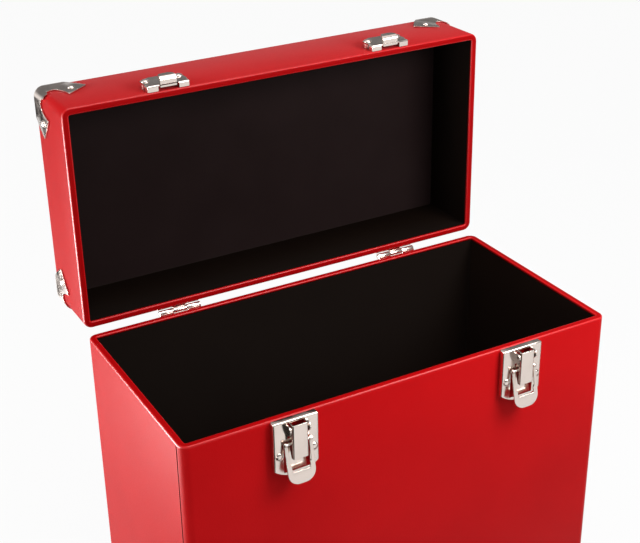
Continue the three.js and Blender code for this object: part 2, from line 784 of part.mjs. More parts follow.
[['left', -1], ['right', 1]].forEach(([side, sign]) => {
  const bodyLatch = latch(side);
  bodyLatch.position.set(sign * latchOffset, -caseDepth / 2, rimZ);
  bodyLatch.rotation.z = Math.PI;
  part.add(bodyLatch);

  const lidStrike = strike(side);
  lidStrike.position.set(sign * strikeOffset, -caseDepth / 2, 0);
  lidStrike.rotation.z = Math.PI;
  lidClosed.add(lidStrike);

  const lower = addMesh(part, `hinge_body_leaf_${side}`, bodyLeaf, nickel);
  lower.position.set(sign * hingeOffset, caseDepth / 2, pinZ);
  const upper = addMesh(lidClosed, `hinge_lid_leaf_${side}`, lidLeaf, nickel);
  upper.position.set(sign * hingeOffset, caseDepth / 2, -rimGap / 2);
  upper.rotation.y = Math.PI;
  const pin = addMesh(part, `hinge_pin_${side}`, hingePin, nickel);
  pin.position.set(sign * hingeOffset, pinY, pinZ);

  const bracket = addMesh(lidClosed, `handle_bracket_${side}`, handleBracket(), nickel);
  bracket.position.set(sign * handleOffset, 0, lidHeight);
});

const handle = new THREE.Group();
handle.position.set(0, 0, lidHeight + seatGap + handleWireRadius + turningClearance);
handle.rotation.x = rad(handleRestTilt);
lidClosed.add(handle);
addMesh(handle, 'handle_grip', handleGrip(), gripBlack);
[['left', -1], ['right', 1]].forEach(([side, sign]) => {
  addMesh(handle, `handle_loop_${side}`, handleWire(), nickel).position.x = sign * handleOffset;
});

// The origin is under the middle of the whole part as it stands open.
part.updateMatrixWorld(true);
const bounds = new THREE.Box3().setFromObject(part, true);
part.position.y = -(bounds.min.y + bounds.max.y) / 2;

export default part;
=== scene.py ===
"""Record carrying case, standing open: red leatherette over board, black lining, bright nickel fittings."""
import json
import math

import bmesh
import bpy
from mathutils import Matrix, Vector


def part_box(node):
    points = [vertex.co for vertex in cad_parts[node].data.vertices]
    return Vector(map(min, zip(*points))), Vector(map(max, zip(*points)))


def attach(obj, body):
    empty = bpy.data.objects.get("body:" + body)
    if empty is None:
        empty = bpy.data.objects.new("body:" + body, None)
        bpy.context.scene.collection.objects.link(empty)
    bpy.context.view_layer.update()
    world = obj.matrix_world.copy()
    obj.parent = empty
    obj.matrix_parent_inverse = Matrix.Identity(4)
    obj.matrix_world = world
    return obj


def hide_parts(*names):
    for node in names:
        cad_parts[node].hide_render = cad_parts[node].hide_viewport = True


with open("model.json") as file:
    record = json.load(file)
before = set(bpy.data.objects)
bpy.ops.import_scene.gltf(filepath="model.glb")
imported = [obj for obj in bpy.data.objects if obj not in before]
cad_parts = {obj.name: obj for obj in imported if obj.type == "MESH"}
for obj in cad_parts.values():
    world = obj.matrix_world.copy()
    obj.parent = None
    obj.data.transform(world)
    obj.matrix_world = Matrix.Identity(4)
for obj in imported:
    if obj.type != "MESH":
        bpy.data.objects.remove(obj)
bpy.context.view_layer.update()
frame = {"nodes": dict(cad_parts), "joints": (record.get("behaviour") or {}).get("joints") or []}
scene = bpy.context.scene
scene.view_settings.view_transform = "Standard"

# Body covering: one sheet of grained red leatherette, glued round the boards, rolled over the rim and
# turned in above the lining. The front panel ends in a butt seam on each side wall, just behind the corner,
# a sunk strip painted near black as painted shade in the seam. The flat of the rim is painted darker, as
# painted shade, and its rounded edges a little lighter, as painted highlight.
case_low, case_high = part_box("body_covering")
case_length = case_high.x - case_low.x
case_depth = case_high.y - case_low.y
body_height = case_high.z - case_low.z
middle_y = (case_low.y + case_high.y) / 2
rim_z = case_high.z
front_y = case_low.y
back_y = case_high.y
corner_radius = 0.0068
edge_radius = 0.0015
inner_edge_radius = 0.0010
wall = 0.0052
turn_in = 0.0020
skin = 0.0008
seam_width = 0.0014
seam_depth = 0.0006
seam_behind_corner = 0.0004
corner_steps = 10
edge_steps = 4
rim_steps = 3
tiny = 0.000001
square_on = 0.999
sloping = (0.02, 0.98)


def smooth_faces(bm, degrees):
    """Rounded stretches shade smoothly, and edges sharper than the angle stay crisp."""
    for face in bm.faces:
        face.smooth = True
    for edge in bm.edges:
        edge.smooth = edge.calc_face_angle(0) < math.radians(degrees)


def new_object(name, bm, *materials):
    """Turns a finished shape into an object of the scene."""
    mesh = bpy.data.meshes.new(name)
    bm.to_mesh(mesh)
    bm.free()
    for material in materials:
        mesh.materials.append(material)
    made = bpy.data.objects.new(name, mesh)
    scene.collection.objects.link(made)
    return made


def shift(x, y, z):
    return Matrix.Translation((x, y, z))


def moved(bm, place):
    bmesh.ops.transform(bm, matrix=place, verts=bm.verts)


def make_piece(name, bm, place, material, body, slot, *nodes, crease=32):
    """Puts a finished shape in its place in the frame and hangs it on its body, in place of its CAD nodes."""
    moved(bm, place)
    smooth_faces(bm, crease)
    piece = new_object(name, bm, material)
    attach(piece, body)
    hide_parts(*nodes)
    return piece


def fill_in(node, given):
    """Sets some inputs of a shader node."""
    for name, value in given.items():
        node.inputs[name].default_value = value


def node_at(nodes, kind, x, y, given=None, **values):
    """A shader node with its place in the editor, its plain values and what its inputs are given."""
    made = nodes.new(kind)
    made.location = (x, y)
    for key, value in values.items():
        setattr(made, key, value)
    fill_in(made, given or {})
    return made


def link_up(links, *rows):
    """Links shader nodes. A row is a node, its output, the node after it and the input there."""
    for node, output, after, entry in rows:
        links.new(node.outputs[output], after.inputs[entry])


def new_group(name, given, *outputs):
    """Shader group with given number inputs and named number outputs."""
    group = bpy.data.node_groups.new(name, "ShaderNodeTree")
    sockets = group.interface
    for entry, value in given.items():
        sockets.new_socket(entry, in_out="INPUT", socket_type="NodeSocketFloat").default_value = value
    for output in outputs:
        sockets.new_socket(output, in_out="OUTPUT", socket_type="NodeSocketFloat")
    return group


def new_material(name, given):
    """A material with its nodes, its links and its shader, whose inputs are given."""
    material = bpy.data.materials.new(name)
    material.use_nodes = True
    tree = material.node_tree
    shader = tree.nodes["Principled BSDF"]
    fill_in(shader, given)
    return material, tree.nodes, tree.links, shader


def grain_group():
    """Pebbled grain with soft creases. Height drives bumps, Mottle is a slow mask over the sheet."""
    group = new_group("Leatherette grain", {"Grain scale": 900, "Crease share": 0.35}, "Height", "Mottle")
    nodes = group.nodes
    given = node_at(nodes, "NodeGroupInput", -900, 0)
    out = node_at(nodes, "NodeGroupOutput", 500, 0)
    place = node_at(nodes, "ShaderNodeTexCoord", -900, 300)
    pebbles = node_at(nodes, "ShaderNodeTexVoronoi", -600, 200, {"Smoothness": 0.4}, feature="SMOOTH_F1")
    creases = node_at(nodes, "ShaderNodeTexNoise", -600, -100, {"Detail": 4})
    spread = node_at(nodes, "ShaderNodeMath", -800, -100, {1: 0.45}, operation="MULTIPLY")
    mottle = node_at(nodes, "ShaderNodeTexNoise", -600, -400, {"Scale": 22, "Detail": 3})
    height = node_at(nodes, "ShaderNodeMix", 100, 100, data_type="FLOAT")
    link_up(
        group.links,
        (given, "Grain scale", pebbles, "Scale"),
        (given, "Grain scale", spread, 0),
        (spread, 0, creases, "Scale"),
        (place, "Object", pebbles, "Vector"),
        (place, "Object", creases, "Vector"),
        (place, "Object", mottle, "Vector"),
        (given, "Crease share", height, "Factor"),
        (pebbles, "Distance", height, "A"),
        (creases, "Fac", height, "B"),
        (height, "Result", out, "Height"),
        (mottle, "Fac", out, "Mottle"),
    )
    return group


grain = grain_group()


def sheet_material(name, dark, light, roughness, specular, bump, depth, scale=1100, sheen=0):
    """A grained sheet, such as leatherette or lining paper, from the shared grain."""
    material, nodes, links, shader = new_material(
        name, {"Specular IOR Level": specular, "Sheen Weight": sheen, "Sheen Roughness": 0.4},
    )
    gloss = {"To Min": roughness - 0.05, "To Max": roughness + 0.07}
    texture = node_at(nodes, "ShaderNodeGroup", -700, 0, {"Grain scale": scale}, node_tree=grain)
    colour = node_at(nodes, "ShaderNodeMix", -300, 200, {"A": (*dark, 1), "B": (*light, 1)}, data_type="RGBA")
    rough = node_at(nodes, "ShaderNodeMapRange", -300, -100, gloss)
    relief = node_at(nodes, "ShaderNodeBump", -300, -300, {"Strength": bump, "Distance": depth})
    link_up(
        links,
        (texture, "Mottle", colour, "Factor"),
        (texture, "Height", rough, "Value"),
        (texture, "Height", relief, "Height"),
        (colour, "Result", shader, "Base Color"),
        (rough, "Result", shader, "Roughness"),
        (relief, "Normal", shader, "Normal"),
    )
    return material


leatherette = sheet_material(
    "Red leatherette", (0.43, 0.0020, 0.0034), (0.51, 0.0032, 0.0048), roughness=0.42, specular=0.03,
    bump=0.45, depth=0.00022, sheen=0.09,
)
# The flat of the rim: the same leatherette painted darker, as painted shade.
rim_leatherette_painted_shade = sheet_material(
    "Leatherette on the rim, painted shade", (0.31, 0.0008, 0.0016), (0.37, 0.0012, 0.0022), roughness=0.45, specular=0.05,
    bump=0.3, depth=0.00015,
)
# The rounded rim edges: glossier pressed leatherette, also painted a little lighter, as painted highlight.
pressed_edge_painted_highlight = sheet_material(
    "Pressed leatherette edge, painted highlight", (0.46, 0.0022, 0.0036), (0.54, 0.0034, 0.0050), roughness=0.36, specular=0.35,
    bump=0.2, depth=0.00015,
)
# Painted shade: the sunk strip of each seam is painted near black.
seam_painted_shade = sheet_material(
    "Painted shade in the seam", (0.030, 0.001, 0.001), (0.045, 0.002, 0.002), roughness=0.7, specular=0.02,
    bump=0.3, depth=0.0001,
)


def round_off(bm, geom, radius, segments, affect="EDGES", clamp=False):
    """Rounds off some edges, or the corners of a flat face."""
    bmesh.ops.bevel(bm, geom=geom, offset=radius, segments=segments, profile=0.5, affect=affect, material=-1,
                    clamp_overlap=clamp)


def verts_in(made):
    return [part for part in made if isinstance(part, bmesh.types.BMVert)]


def edges_in(made):
    return [part for part in made if isinstance(part, bmesh.types.BMEdge)]


def faces_in(made):
    return [part for part in made if isinstance(part, bmesh.types.BMFace)]


def plain_block(length, depth, height):
    bm = bmesh.new()
    bmesh.ops.create_cube(bm, size=1)
    bmesh.ops.scale(bm, vec=(length, depth, height), verts=bm.verts)
    return bm


def rounded_block(length, depth, height, bottom_radius, top_radius, corner, segments):
    """Upright block on z = 0 with round corners in plan and rounded edges round its bottom and top."""
    bm = plain_block(length, depth, height)
    bmesh.ops.translate(bm, vec=(0, 0, height / 2), verts=bm.verts)
    upright = [e for e in bm.edges if abs(e.verts[0].co.z - e.verts[1].co.z) > height / 2]
    round_off(bm, upright, corner, segments)
    for level, radius in ((0, bottom_radius), (height, top_radius)):
        if radius:
            ring = [e for e in bm.edges if all(abs(v.co.z - level) < tiny for v in e.verts)]
            round_off(bm, ring, radius, edge_steps)
    return bm


def top_face(bm):
    """The highest face, and the largest of several at that height."""
    return max(bm.faces, key=lambda f: (round(f.calc_center_median().z, 6), f.calc_area()))


def side_walls(bm):
    """The flat outside faces of the two side walls."""
    return [f for f in bm.faces if abs(f.normal.x) > square_on
            and abs(f.calc_center_median().x) > case_length / 2 - 10 * tiny]


def sink_seams(bm):
    """Cuts a strip out of each side wall behind its front corner and sinks it, as material 3, painted near
    black as painted shade.
    """
    start = -case_depth / 2 + corner_radius + seam_behind_corner
    for place in (start, start + seam_width):
        walls = side_walls(bm)
        parts = walls + list({e for f in walls for e in f.edges}) + list({v for f in walls for v in f.verts})
        bmesh.ops.bisect_plane(bm, geom=parts, plane_co=(0, place, 0), plane_no=(0, 1, 0))
        bm.normal_update()
    strips = [f for f in bm.faces if abs(f.normal.x) > square_on
              and abs(f.calc_center_median().y - start - seam_width / 2) < seam_width / 4]
    for strip in strips:
        sign = math.copysign(1, strip.calc_center_median().x)
        sunk = bmesh.ops.extrude_discrete_faces(bm, faces=[strip])["faces"]
        verts = {v for f in sunk for v in f.verts}
        bmesh.ops.translate(bm, vec=(-sign * seam_depth, 0, 0), verts=list(verts))
        # The seam strip's walls and floor take material 3, painted near black as painted shade.
        for face in {f for v in verts for f in v.link_faces}:
            face.material_index = 3
    bm.normal_update()


def covered_tray(height, seams):
    """Covering of a tray open upwards: outside walls, rolled rim and the turned-in strip, as a thin skin."""
    bm = rounded_block(case_length, case_depth, height, edge_radius, edge_radius, corner_radius, corner_steps)
    bmesh.ops.inset_region(bm, faces=[top_face(bm)], thickness=wall - edge_radius, use_even_offset=True)
    level = [f for f in bm.faces if abs(f.calc_center_median().z - height) < tiny]
    inside = min(level, key=lambda f: abs(f.calc_center_median().x) + abs(f.calc_center_median().y))
    rim_loop = list(inside.edges)
    made = bmesh.ops.extrude_face_region(bm, geom=[inside])["geom"]
    bmesh.ops.translate(bm, vec=(0, 0, -turn_in), verts=verts_in(made))
    bmesh.ops.delete(bm, geom=faces_in(made) + [f for f in bm.faces if f == inside], context="FACES")
    round_off(bm, [e for e in rim_loop if e.is_valid], inner_edge_radius, rim_steps)
    bm.normal_update()
    if seams:
        sink_seams(bm)
    # Flat rim faces take the rim material, painted darker as painted shade; rounded rim edges take the
    # pressed material, glossier and painted a little lighter as painted highlight.
    for face in bm.faces:
        if face.calc_center_median().z > height - edge_radius and face.material_index == 0:
            face.material_index = 2 if sloping[0] < face.normal.z < sloping[1] else 1
    return bm


def add_skin(piece, thickness):
    """Gives a sheet its thickness, grown inwards from the modelled face."""
    made = piece.modifiers.new("Thickness", "SOLIDIFY")
    made.thickness = thickness
    made.offset = -1
    made.use_even_offset = True


def covering(prefix, tray, place, body, *painted_edge_materials):
    """Makes the covering of the body or the lid. Its flat rim is painted darker as painted shade, its rounded
    rim edges a little lighter as painted highlight, and its seams near black as painted shade.
    """
    name = f"{prefix}_leatherette"
    made = make_piece(name, tray, place, leatherette, body, "leatherette", f"{prefix}_covering")
    for material in painted_edge_materials:
        made.data.materials.append(material)
    add_skin(made, skin)


body_place = shift(0, middle_y, case_low.z)
tray = covered_tray(body_height, True)
covering("body", tray, body_place, "case", rim_leatherette_painted_shade, pressed_edge_painted_highlight, seam_painted_shade)

# Lid covering: the same sheet round a shallow tray. It is laid out as it closes on the body, and then
# turned back about the hinge pins to the hinge's own stop, where the case stands open.
lid_joint = next(j for j in frame["joints"] if j["name"] == "lid_hinge")
pin = Vector(lid_joint["pos_m"])
open_angle = math.radians(lid_joint["range_deg"][1])
rim_gap = 0.0006
lid_height = 0.0594
lid_rim_z = rim_z + rim_gap
lid_open = Matrix.Translation(pin) @ Matrix.Rotation(-open_angle, 4, "X") @ Matrix.Translation(-pin)
turned_over = Matrix.Rotation(math.pi, 4, "Y")
lid_place = lid_open @ shift(0, middle_y, lid_rim_z + lid_height) @ turned_over
covering("lid", covered_tray(lid_height, False), lid_place, "lid", rim_leatherette_painted_shade, pressed_edge_painted_highlight)

# Linings: black paper, faintly grained, glued to the boards inside. Each stops just under the turned-in
# edge of the covering and keeps a small fillet in its corners. The sheet in the lid's top is the same paper
# painted a paler black, as painted light.
lining_gap = 0.0003
lining_flat = 0.9
lining_corner_steps = 6
lining_paper = sheet_material(
    "Black lining paper", (0.0034, 0.0017, 0.0011), (0.0048, 0.0026, 0.0017), roughness=0.60, specular=0.02,
    bump=0.25, depth=0.00012, scale=1500,
)
# Painted light: the lid's top panel is the same paper as the walls, painted paler.
lid_paper_painted_light = sheet_material(
    "Black lining paper in the lid, painted light", (0.0105, 0.0056, 0.0054), (0.0170, 0.0098, 0.0096), roughness=0.50,
    specular=0.05, bump=0.25, depth=0.00012, scale=1500,
)


def lined_tray(height):
    """Lining as a shell open upwards, outside against the boards and inside flush with the turn-in."""
    outside = wall - skin
    length = case_length - 2 * outside
    depth = case_depth - 2 * outside
    tall = height - outside - turn_in - lining_gap
    corner = corner_radius - outside
    bm = rounded_block(length, depth, tall, edge_radius, 0, corner, lining_corner_steps)
    bmesh.ops.delete(bm, geom=[top_face(bm)], context="FACES")
    bmesh.ops.translate(bm, vec=(0, 0, outside), verts=bm.verts)
    return bm


for prefix, height, place, panel, body in (
    ("body", body_height, body_place, lining_paper, "case"),
    ("lid", lid_height, lid_place, lid_paper_painted_light, "lid"),
):
    shell = lined_tray(height)
    # Flat panels take the panel paper, which in the lid is painted paler as painted light; the walls take the
    # plain paper.
    for face in shell.faces:
        face.material_index = abs(face.normal.z) < lining_flat
    paper = make_piece(f"{prefix}_lining_paper", shell, place, panel, body, "lining", f"{prefix}_lining")
    paper.data.materials.append(lining_paper)
    add_skin(paper, skin)

# Boards: pressed fibreboard, 3 mm thick, wholly hidden between the covering and the lining. The CAD
# boards are right as they are and only take their finish.
fibreboard = sheet_material(
    "Brown fibreboard", (0.20, 0.12, 0.065), (0.30, 0.19, 0.10), roughness=0.85, specular=0.2, bump=0.5,
    depth=0.0002, scale=300,
)
for name, node in frame["nodes"].items():
    if name.endswith("_board"):
        node.data.materials.clear()
        node.data.materials.append(fibreboard)

# Corner protectors: thin nickel-plated steel pressed over each outer corner, with an arrow-shaped leaf on
# each of the three faces and a dome-headed rivet through every leaf.
nickel_gap = 0.0003
sheet = 0.0010
protector_reach = 0.021
notch_near = 0.011
notch_far = 0.015
tip_near = 0.0175
tip_far = 0.0345
barb_near = 0.017
barb_far = 0.031
bulge_near = 0.007
bulge_far = 0.0275
mouth_round = 0.0012
bulge_round = 0.006
tip_round = 0.0010
barb_round = 0.0018
barb_lean = 0.002
throat_round = 0.004
notch_round = 0.0025
notch_lean = 0.001
notch_end_round = 0.003
protector_edge = 0.00022
protector_sharp = math.radians(50)
fold_angle = 1.2
rivet_across = 0.0225
rivet_along = 0.0175
dome_radius = 0.0026
dome_height = 0.0015
dome_sides = 24
outline_steps = 6
dome_steps = 6
ease_steps = 2
over = 0.002
across_y = Matrix(((1, 0, 0, 0), (0, 0, 1, 0), (0, 1, 0, 0), (0, 0, 0, 1)))
across_x = Matrix(((0, 0, 1, 0), (1, 0, 0, 0), (0, 1, 0, 0), (0, 0, 0, 1)))
y_to_z = Matrix.Rotation(math.pi / 2, 4, "X")


def wear_group():
    """Fine brushed scratches and faint smudges on plated metal. Scuff is a mask, Height drives bumps."""
    group = new_group("Plating wear", {"Scratch scale": 700}, "Scuff", "Height")
    nodes = group.nodes
    given = node_at(nodes, "NodeGroupInput", -900, 0)
    out = node_at(nodes, "NodeGroupOutput", 300, 0)
    place = node_at(nodes, "ShaderNodeTexCoord", -900, 300)
    stretch = node_at(nodes, "ShaderNodeMapping", -700, 100, {"Scale": (1, 1, 0.12)})
    scratches = node_at(nodes, "ShaderNodeTexNoise", -450, 100, {"Detail": 5})
    smudges = node_at(nodes, "ShaderNodeTexNoise", -450, -200, {"Scale": 90, "Detail": 3})
    link_up(
        group.links,
        (place, "Object", stretch, "Vector"),
        (stretch, "Vector", scratches, "Vector"),
        (given, "Scratch scale", scratches, "Scale"),
        (place, "Object", smudges, "Vector"),
        (smudges, "Fac", out, "Scuff"),
        (scratches, "Fac", out, "Height"),
    )
    return group


wear = wear_group()


def plated_material(name, colour, smooth, rough, scale, bump, depth):
    """Bright plated metal whose gloss changes with faint smudges and brushed scratches."""
    material, nodes, links, shader = new_material(name, {"Base Color": colour, "Metallic": 1})
    smudged = {"From Min": 0.35, "From Max": 0.65, "To Min": smooth, "To Max": rough}
    texture = node_at(nodes, "ShaderNodeGroup", -700, 0, {"Scratch scale": scale}, node_tree=wear)
    gloss = node_at(nodes, "ShaderNodeMapRange", -300, 0, smudged)
    relief = node_at(nodes, "ShaderNodeBump", -300, -300, {"Strength": bump, "Distance": depth})
    link_up(
        links,
        (texture, "Scuff", gloss, "Value"),
        (texture, "Height", relief, "Height"),
        (gloss, "Result", shader, "Roughness"),
        (relief, "Normal", shader, "Normal"),
    )
    return material


nickel = plated_material(
    "Bright nickel", (0.76, 0.66, 0.60, 1), smooth=0.14, rough=0.26, scale=700, bump=0.12, depth=0.00002
)


def nickel_piece(name, bm, place, body, *nodes, crease=32):
    return make_piece(name, bm, place, nickel, body, "nickel", *nodes, crease=crease)


def outline_face(bm, corners, segments):
    """Flat face in x and y from corners given as x, y and how far along its edges each is rounded off."""
    verts = [bm.verts.new((x, y, 0)) for x, y, _ in corners]
    bm.faces.new(verts)
    for vert, (_, _, cut) in zip(verts, corners):
        if cut:
            round_off(bm, [vert], cut, segments, affect="VERTICES")
    return bm


def mirror(corners):
    """The same corners on an outline's other half, in the order that follows on."""
    return [(-x, y, cut) for x, y, cut in reversed(corners)]


def face_out(bm):
    bmesh.ops.recalc_face_normals(bm, faces=bm.faces)


def thicken(bm, faces, depth):
    """Extrudes faces straight by a vector and closes the body."""
    made = bmesh.ops.extrude_face_region(bm, geom=faces)["geom"]
    bmesh.ops.translate(bm, vec=depth, verts=verts_in(made))
    face_out(bm)


def sharp_edges(bm, angle=fold_angle):
    return [e for e in bm.edges if e.calc_face_angle(0) > angle]


def merged(bm, distance=tiny):
    bmesh.ops.remove_doubles(bm, verts=bm.verts, dist=distance)


def turned(profile, segments):
    """Body spun about Y from a profile of radius and y, closed at its two poles."""
    bm = bmesh.new()
    verts = [bm.verts.new((radius, y, 0)) for radius, y in profile]
    edges = [bm.edges.new(pair) for pair in zip(verts, verts[1:])]
    bmesh.ops.spin(bm, geom=verts + edges, cent=(0, 0, 0), axis=(0, 1, 0), angle=2 * math.pi, steps=segments,
                   use_merge=True)
    merged(bm)
    face_out(bm)
    return bm


def dome_profile(radius, height, foot, steps=dome_steps):
    """Rivet head over y = 0 with a foot below it, as radius and y pairs from pole to pole."""
    arc = [(radius * math.cos(i / steps * math.pi / 2), height * math.sin(i / steps * math.pi / 2))
           for i in range(steps)]
    return [(0, -foot), (radius, -foot), *arc, (0, height)]


def joined(target, other, place=Matrix.Identity(4)):
    """Adds another shape to a bmesh at a place."""
    moved(other, place)
    holder = bpy.data.meshes.new("joined")
    other.to_mesh(holder)
    other.free()
    target.from_mesh(holder)
    bpy.data.meshes.remove(holder)


def boolean_mesh(first, second, operation):
    """The mesh of two closed shapes met by a boolean."""
    objects = [new_object("boolean", bm) for bm in (first, second)]
    cut = objects[0].modifiers.new("Cut", "BOOLEAN")
    cut.operation = operation
    cut.solver = "EXACT"
    cut.use_self = True
    cut.object = objects[1]
    result = bpy.data.meshes.new_from_object(objects[0].evaluated_get(bpy.context.evaluated_depsgraph_get()))
    for made in objects:
        mesh = made.data
        bpy.data.objects.remove(made)
        bpy.data.meshes.remove(mesh)
    return result


def protector_mesh():
    """Protector round the corner at the origin, whose faces run towards +X, +Y and +Z."""
    size = 3 * tip_far
    outer = nickel_gap + sheet

    def corner_block(gap, height):
        width = size + 2 * gap
        bm = rounded_block(width, width, height, edge_radius + gap, 0, corner_radius + gap, corner_steps)
        bmesh.ops.translate(bm, vec=(size / 2, size / 2, -gap), verts=bm.verts)
        return bm

    near_half = [(-over, -over, 0), (protector_reach, -over, 0), (protector_reach, 0, mouth_round),
                 (bulge_far, bulge_near, bulge_round), (tip_far, tip_near, tip_round)]
    cap = near_half + [(tip_near, tip_far, tip_round), (bulge_near, bulge_far, bulge_round)]
    wall_leaf = near_half + [
        (barb_near, barb_far, barb_round), (barb_near - barb_lean, protector_reach, throat_round),
        (notch_near, notch_far, notch_round), (notch_near / 2, notch_far + notch_lean, notch_end_round),
    ]
    end = [(0, protector_reach, mouth_round), (-over, protector_reach, 0)]
    depth = corner_radius / 2
    keep = bmesh.new()
    faces = ((Matrix.Identity(4), cap, rivet_across), (across_y, wall_leaf, rivet_along),
             (across_x, wall_leaf, rivet_along))
    for swap, lobe, _ in faces:
        leaf = outline_face(bmesh.new(), lobe + end, outline_steps)
        thicken(leaf, list(leaf.faces), (0, 0, depth + over))
        bmesh.ops.translate(leaf, vec=(0, 0, -over), verts=leaf.verts)
        joined(keep, leaf, swap)
    face_out(keep)
    shell = boolean_mesh(corner_block(outer, size), corner_block(nickel_gap, 2 * size), "DIFFERENCE")
    block = bmesh.new()
    block.from_mesh(shell)
    mesh = boolean_mesh(block, keep, "INTERSECT")
    whole = bmesh.new()
    whole.from_mesh(mesh)
    merged(whole, 2 * tiny)
    round_off(whole, sharp_edges(whole, protector_sharp), protector_edge, ease_steps, clamp=True)
    for swap, _, along in faces:
        head = turned(dome_profile(dome_radius, dome_height, sheet / 2), dome_sides)
        down = Matrix.Rotation(-math.pi / 2, 4, "X")
        joined(whole, head, swap @ shift(rivet_across, along, -outer) @ down)
    face_out(whole)
    made = bpy.data.meshes.new("protector")
    whole.to_mesh(made)
    whole.free()
    return made


protector = protector_mesh()
for prefix, place, body, sides in (
    ("body", body_place, "case", ("left", "right")),
    ("lid", lid_place, "lid", ("right", "left")),
):
    corners = ((-1, -1, "front", 0), (1, -1, "front", 1), (1, 1, "back", 1), (-1, 1, "back", 0))
    for quarter, (x, y, end, side) in enumerate(corners):
        bm = bmesh.new()
        bm.from_mesh(protector)
        at = shift(x * case_length / 2, y * case_depth / 2, 0)
        name = f"{prefix}_corner_{end}_{sides[side]}"
        turn = Matrix.Rotation(quarter * math.pi / 2, 4, "Z")
        nickel_piece(f"{name}_plated", bm, place @ at @ turn, body, name)
bpy.data.meshes.remove(protector)

# Latch bases: a stamped pan, turned down along its top and sides, riveted to the front wall. Two ears for
# the lever's pin are bent up from its window, and a tongue runs down the middle between the loop's arms.
latch_offset = 0.0953
pan_half = 0.0175
pan_top = 0.0006
pan_side = 0.0385
pan_bottom = 0.045
pan_face = 0.005
fold_radius = 0.0012
ear_outside = 0.008
ear_low = 0.014
ear_radius = 0.0026
ear_window = (-0.0145, -0.0024)
arm_window = (-0.0416, -0.017)
arm_half = 0.0102
tongue_half = 0.0065
tongue_end = 0.0395
tongue_bend = 0.0305
tongue_lift = 0.0016
lever_pivot = Vector((0, 0.009, -0.0055))
rivet_spread = 0.0132
latch_rivet_down = 0.0273
rivet_radius = 0.0033
rivet_height = 0.0017
pin_radius = 0.001
bar_sides = 20
bar_edge = 0.0002
stamped_edge = 0.00018
stamped_angle = math.radians(40)
ear_round_shares = (0.9, 0.98)
pan_arc_steps = 14
panel_steps = 8
side_sign = {"left": -1, "right": 1}
facing_front = Matrix.Rotation(math.pi, 4, "Z")
lying_along_x = Matrix.Rotation(math.pi / 2, 4, "Y")


def stamped(piece, thickness):
    """Sheet thickness behind the modelled face, with the softened edges of stamped metal."""
    add_skin(piece, thickness)
    edge = piece.modifiers.new("Stamped edge", "BEVEL")
    edge.width = stamped_edge
    edge.segments = ease_steps
    edge.limit_method = "ANGLE"
    edge.angle_limit = stamped_angle
    edge.harden_normals = True


def face_towards(bm, way):
    """Turns the faces of an open sheet to one side."""
    face_out(bm)
    if sum((f.normal for f in bm.faces), Vector()).dot(Vector(way)) < 0:
        bmesh.ops.reverse_faces(bm, faces=bm.faces)


def stood_up(bm, y):
    """Stands a flat shape drawn in x and y up parallel to the wall, at a distance out, facing outwards."""
    moved(bm, shift(0, y, 0) @ y_to_z)
    face_towards(bm, (0, 1, 0))


def upright_face(bm, corners, y):
    """Flat face parallel to the wall, from corners given as x, z and a rounding, at a distance out."""
    outline_face(bm, corners, panel_steps)
    stood_up(bm, y)


def whole_of(bm):
    return bm.verts[:] + bm.edges[:] + bm.faces[:]


def slit(bm, axis, places):
    """Cuts the whole sheet along planes across an axis."""
    normal = Vector((axis == "x", axis == "y", axis == "z"))
    for place in places:
        bmesh.ops.bisect_plane(bm, geom=whole_of(bm), plane_co=normal * place, plane_no=normal)


def punch(bm, y, x0, x1, z0, z1):
    """Takes out the parts of the sheet at distance y that lie in a window."""
    inside = []
    for face in bm.faces:
        centre = face.calc_center_median()
        if abs(centre.y - y) < 10 * tiny and x0 < centre.x < x1 and z0 < centre.z < z1:
            inside.append(face)
    bmesh.ops.delete(bm, geom=inside, context="FACES")


def fold_back(bm, edges, depth, radius):
    """Turns a flange back from some edges of a sheet, with a rounded fold."""
    made = bmesh.ops.extrude_edge_only(bm, edges=edges)["geom"]
    bmesh.ops.translate(bm, vec=depth, verts=verts_in(made))
    folds = [e for e in edges if e.is_valid and len(e.link_faces) == 2]
    corners = [e for e in sharp_edges(bm) if len(e.link_faces) == 2 and e not in folds]
    round_off(bm, folds + corners, radius, edge_steps)


def ear_plate(x):
    """One ear, a flat plate rising from the pan to a round end about the pin."""
    bm = bmesh.new()
    root = pan_face - sheet
    end = lever_pivot.y + ear_radius
    low_round, high_round = (share * ear_radius for share in ear_round_shares)
    corners = [
        (root, -ear_low, 0), (end, lever_pivot.z - ear_radius, low_round),
        (end, lever_pivot.z + ear_radius, high_round), (root, lever_pivot.z + ear_radius, 0),
    ]
    outline_face(bm, corners, panel_steps)
    moved(bm, shift(x, 0, 0) @ across_x)
    face_towards(bm, (x, 0, 0))
    return bm


